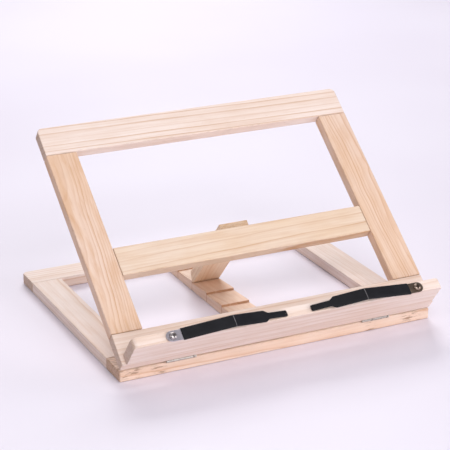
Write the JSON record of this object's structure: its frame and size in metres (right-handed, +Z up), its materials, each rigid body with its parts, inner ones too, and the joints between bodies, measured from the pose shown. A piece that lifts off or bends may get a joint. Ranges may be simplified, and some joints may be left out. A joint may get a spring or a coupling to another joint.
{
  "type": "book display stand",
  "caption": "Folding pine book stand: flat base frame, tilting easel frame with ledge, hinged prop leg and swinging page clips.",
  "frame": {"origin": "centre of the base frame's footprint, on the plane of its underside", "axes": "+Z up; +X along the hinge line, to the right of a reader; -Y towards the reader"},
  "size_m": [0.335, 0.3046, 0.1874],
  "materials": {
    "pine_pale": "satin, pale pine with tan grain lines",
    "pine_warm": "satin, warm orange pine",
    "pine_tan": "satin, tan pine",
    "dowel_beech": "raw beech",
    "hinge_steel": "plated steel",
    "spring_steel": "bright spring steel",
    "screw_steel": "plated steel",
    "black_sleeve": "black, slightly glossy sleeve"
  },
  "bodies": {
    "base_frame": {"base_front_rail": "pine_warm", "base_back_rail": "pine_pale", "base_left_stile": "pine_pale", "base_right_stile": "pine_pale", "ratchet_slat": "pine_tan", "base_dowel_front_left": "dowel_beech", "base_dowel_front_right": "dowel_beech", "base_dowel_back_left": "dowel_beech", "base_dowel_back_right": "dowel_beech", "base_dowel_slat_front": "dowel_beech", "base_dowel_slat_back": "dowel_beech", "hinge_left_base_leaf": "hinge_steel", "hinge_left_pin": "hinge_steel", "hinge_left_base_screw_a": "screw_steel", "hinge_left_base_screw_b": "screw_steel", "hinge_right_base_leaf": "hinge_steel", "hinge_right_pin": "hinge_steel", "hinge_right_base_screw_a": "screw_steel", "hinge_right_base_screw_b": "screw_steel"},
    "easel_frame": {"easel_bottom_rail": "pine_pale", "easel_top_rail": "pine_pale", "easel_left_stile": "pine_warm", "easel_right_stile": "pine_tan", "easel_cross_rail": "pine_pale", "book_ledge": "pine_pale", "easel_dowel_bottom_left": "dowel_beech", "easel_dowel_bottom_right": "dowel_beech", "easel_dowel_top_left": "dowel_beech", "easel_dowel_top_right": "dowel_beech", "cross_rail_dowel_left": "dowel_beech", "cross_rail_dowel_right": "dowel_beech", "ledge_screw_left": "screw_steel", "ledge_screw_middle": "screw_steel", "ledge_screw_right": "screw_steel", "hinge_left_easel_leaf": "hinge_steel", "hinge_left_easel_screw_a": "screw_steel", "hinge_left_easel_screw_b": "screw_steel", "clip_left_washer": "screw_steel", "clip_left_screw": "screw_steel", "hinge_right_easel_leaf": "hinge_steel", "hinge_right_easel_screw_a": "screw_steel", "hinge_right_easel_screw_b": "screw_steel", "clip_right_washer": "screw_steel", "clip_right_screw": "screw_steel", "prop_hinge_rail_leaf": "hinge_steel", "prop_hinge_pin": "hinge_steel", "prop_hinge_rail_screw_a": "screw_steel", "prop_hinge_rail_screw_b": "screw_steel"},
    "prop": {"prop_leg": "pine_tan", "prop_hinge_leg_leaf": "hinge_steel", "prop_hinge_leg_screw_a": "screw_steel", "prop_hinge_leg_screw_b": "screw_steel"},
    "clip_left": {"clip_left_spring": "spring_steel", "clip_left_sleeve": "black_sleeve"},
    "clip_right": {"clip_right_spring": "spring_steel", "clip_right_sleeve": "black_sleeve"}
  },
  "joints": [
    {"name": "easel_tilt", "type": "hinge", "parent": "base_frame", "child": "easel_frame", "pos_m": [0, -0.1341, 0.01175], "axis": [1, 0, 0], "range_deg": [-38.47, 17.5]},
    {"name": "prop_swing", "type": "hinge", "parent": "easel_frame", "child": "prop", "pos_m": [0, -0.03845, 0.08845], "axis": [1, 0, 0], "range_deg": [-41, 89]},
    {"name": "clip_left_swing", "type": "hinge", "parent": "easel_frame", "child": "clip_left", "pos_m": [-0.1252, -0.15948, 0.04836], "axis": [0, -0.6221, 0.7829], "range_deg": [-15, 100]},
    {"name": "clip_right_swing", "type": "hinge", "parent": "easel_frame", "child": "clip_right", "pos_m": [0.1348, -0.15948, 0.04836], "axis": [0, -0.6221, 0.7829], "range_deg": [-100, 15]}
  ],
  "couplings": [
    {"joint": "prop_swing", "follows": "easel_tilt", "ratio": -2.3}
  ]
}
